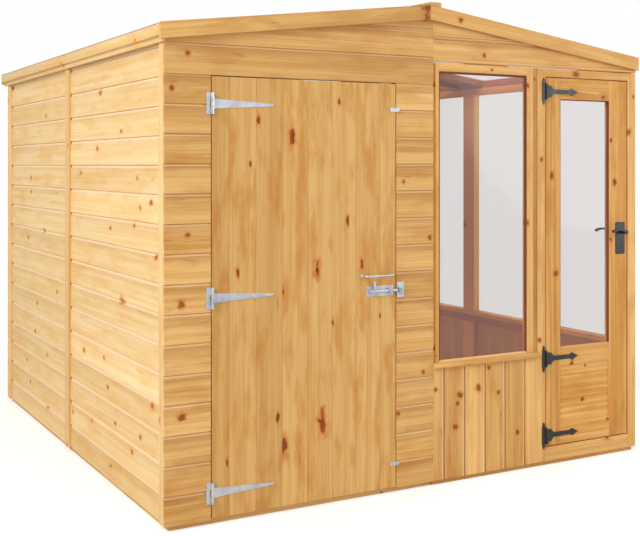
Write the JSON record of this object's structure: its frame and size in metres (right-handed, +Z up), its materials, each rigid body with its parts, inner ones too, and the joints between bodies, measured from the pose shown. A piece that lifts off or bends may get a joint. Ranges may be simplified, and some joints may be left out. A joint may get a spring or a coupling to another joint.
{
  "type": "combination greenhouse shed",
  "caption": "Timber garden building under one shallow apex roof: a boarded tool shed with a ledged door beside a glazed greenhouse with its own half-glazed door.",
  "frame": {"origin": "on the ground below the centre of the 2440 mm by 2442 mm wall plan", "axes": "X runs to the right along the front, Y runs back from the doors, Z is up"},
  "size_m": [2.48, 2.543, 2.07],
  "materials": {
    "cladding_pine": "planed softwood, honey stain",
    "door_pine": "planed softwood, honey stain",
    "framing_pine": "planed softwood",
    "glazing": "clear horticultural sheet",
    "roofing_felt": "mineral roofing felt",
    "zinc_ironmongery": "bright zinc plate",
    "black_ironmongery": "black powder coat"
  },
  "bodies": {
    "building": {"floor_end_joists": "framing_pine", "floor_bearers": "framing_pine", "shed_floor": "framing_pine", "shed_wall_left_front": "cladding_pine", "shed_wall_left_rear": "cladding_pine", "shed_wall_front_left": "cladding_pine", "shed_wall_front_right": "cladding_pine", "shed_front_gable": "cladding_pine", "shed_wall_rear": "cladding_pine", "shed_cover_strips": "cladding_pine", "shed_wall_studs": "framing_pine", "shed_side_rails": "framing_pine", "shed_end_rails": "framing_pine", "greenhouse_end_plates": "framing_pine", "greenhouse_side_plate": "framing_pine", "greenhouse_stiles": "cladding_pine", "greenhouse_heads": "cladding_pine", "greenhouse_bottom_rails": "framing_pine", "greenhouse_sills": "cladding_pine", "greenhouse_rear_sill": "cladding_pine", "greenhouse_boards": "cladding_pine", "greenhouse_rear_boards": "cladding_pine", "greenhouse_panes": "glazing", "greenhouse_door_posts": "cladding_pine", "greenhouse_door_foot": "cladding_pine", "greenhouse_door_threshold": "cladding_pine", "greenhouse_door_head": "cladding_pine", "greenhouse_gables": "cladding_pine", "wall_plates": "framing_pine", "ridge_beam": "framing_pine", "rafters_left": "framing_pine", "rafters_right": "framing_pine", "shed_roof_purlins": "framing_pine", "shed_roof_deck": "framing_pine", "shed_roof_felt": "roofing_felt", "greenhouse_roof_bars": "framing_pine", "greenhouse_roof_panes": "glazing", "bargeboards_left": "cladding_pine", "bargeboards_right": "cladding_pine", "eaves_fascia": "cladding_pine", "ridge_cap": "cladding_pine", "shed_hinge_plates": "zinc_ironmongery", "shed_bolt_keeper": "zinc_ironmongery", "greenhouse_hinge_plates": "black_ironmongery"},
    "shed_door": {"shed_door_boards": "door_pine", "shed_door_ledges": "framing_pine", "shed_door_braces": "framing_pine", "shed_hinge_straps": "zinc_ironmongery", "shed_pull_handle": "zinc_ironmongery", "shed_bolt_base": "zinc_ironmongery"},
    "shed_bolt": {"shed_bolt_rod": "zinc_ironmongery"},
    "button_lower": {"turn_button_lower": "zinc_ironmongery"},
    "button_upper": {"turn_button_upper": "zinc_ironmongery"},
    "greenhouse_door": {"greenhouse_door_stiles": "door_pine", "greenhouse_door_rails": "door_pine", "greenhouse_door_panel": "door_pine", "greenhouse_door_pane": "glazing", "greenhouse_hinge_straps": "black_ironmongery", "greenhouse_lock_plates": "black_ironmongery"},
    "lever_handle": {"greenhouse_door_levers": "black_ironmongery"}
  },
  "joints": [
    {"name": "shed_door_swing", "type": "hinge", "parent": "building", "child": "shed_door", "pos_m": [-1.025, -1.229, 0.867], "axis": [0, 0, -1], "range_deg": [0, 165]},
    {"name": "shed_bolt_slide", "type": "slide", "parent": "shed_door", "child": "shed_bolt", "axis": [1, 0, 0], "range_m": [0, 0.055]},
    {"name": "button_lower_turn", "type": "hinge", "parent": "shed_door", "child": "button_lower", "pos_m": [-0.1895, -1.2228, 0.124], "axis": [0, 1, 0], "range_deg": [0, 90]},
    {"name": "button_upper_turn", "type": "hinge", "parent": "shed_door", "child": "button_upper", "pos_m": [-0.1895, -1.2228, 1.607], "axis": [0, 1, 0], "range_deg": [0, 90]},
    {"name": "greenhouse_door_swing", "type": "hinge", "parent": "building", "child": "greenhouse_door", "pos_m": [0.6525, -1.227, 0.932], "axis": [0, 0, -1], "range_deg": [0, 115]},
    {"name": "lever_turn", "type": "hinge", "parent": "greenhouse_door", "child": "lever_handle", "pos_m": [1.118, -1.207, 1.057], "axis": [0, -1, 0], "range_deg": [0, 40], "stiffness_Nm_per_rad": 0.6, "springref_deg": -28.65}
  ]
}
